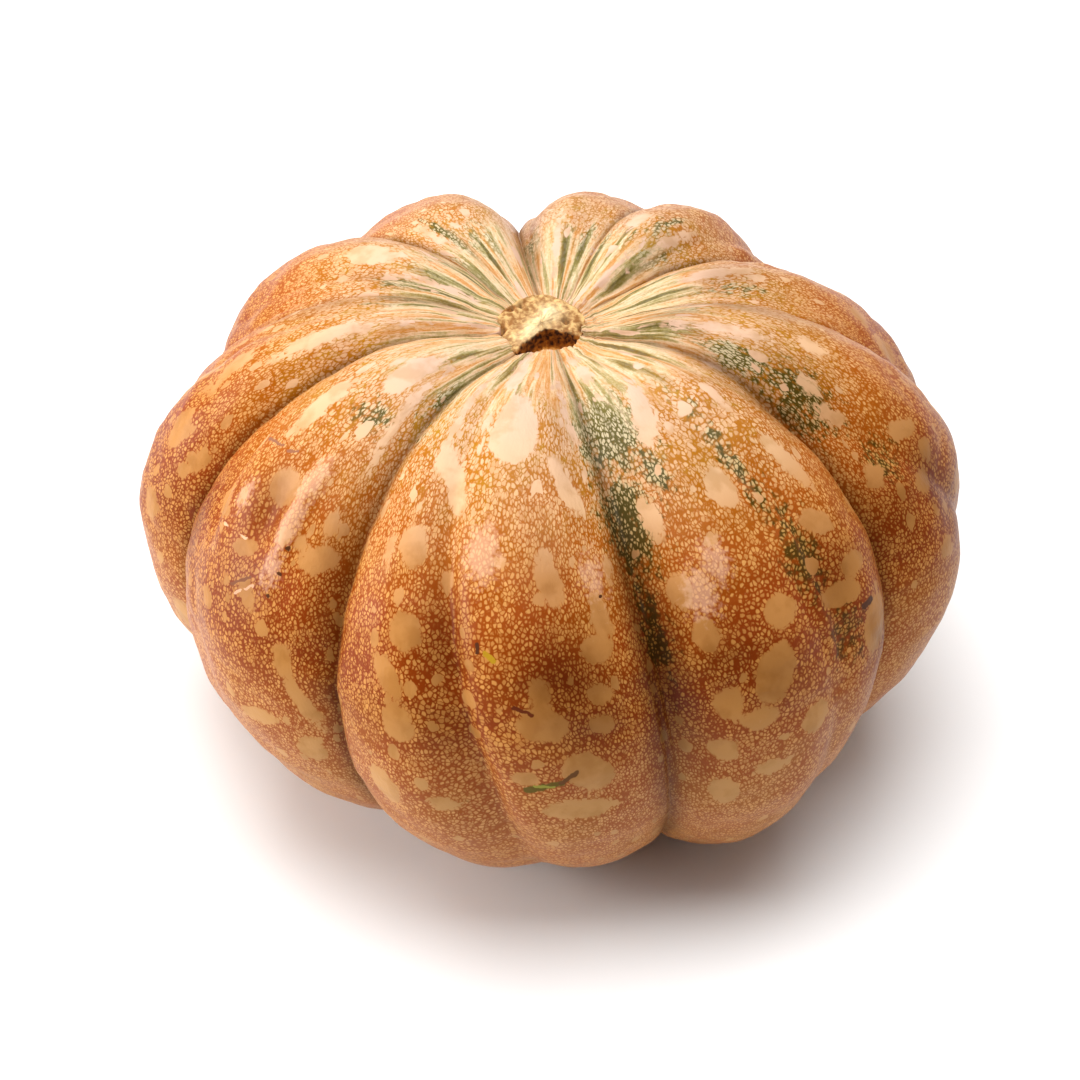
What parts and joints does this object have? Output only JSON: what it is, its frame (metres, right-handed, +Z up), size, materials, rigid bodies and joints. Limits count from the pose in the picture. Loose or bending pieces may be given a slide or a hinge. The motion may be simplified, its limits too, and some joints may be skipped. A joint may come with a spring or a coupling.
{
  "type": "pumpkin",
  "caption": "Squat ribbed pumpkin with deep furrows, a sunken crown holding a dry stalk stub, and flattened rib feet that it stands on.",
  "frame": {"origin": "centre of the bounding box in plan, at the height of the surface that the pumpkin stands on", "axes": "+Z up through the stalk, -Y towards the front of the picture's view, +X to its right"},
  "size_m": [0.2592, 0.253, 0.1619],
  "materials": {
    "rind": "waxy satin rind, orange netted and blotched with pale tan, with green and cream streaks near the stalk",
    "dry_stalk": "dry corky tan stalk with a torn brown hollow"
  },
  "bodies": {
    "root": {"fruit": "rind", "stalk_stub": "dry_stalk"}
  },
  "joints": []
}
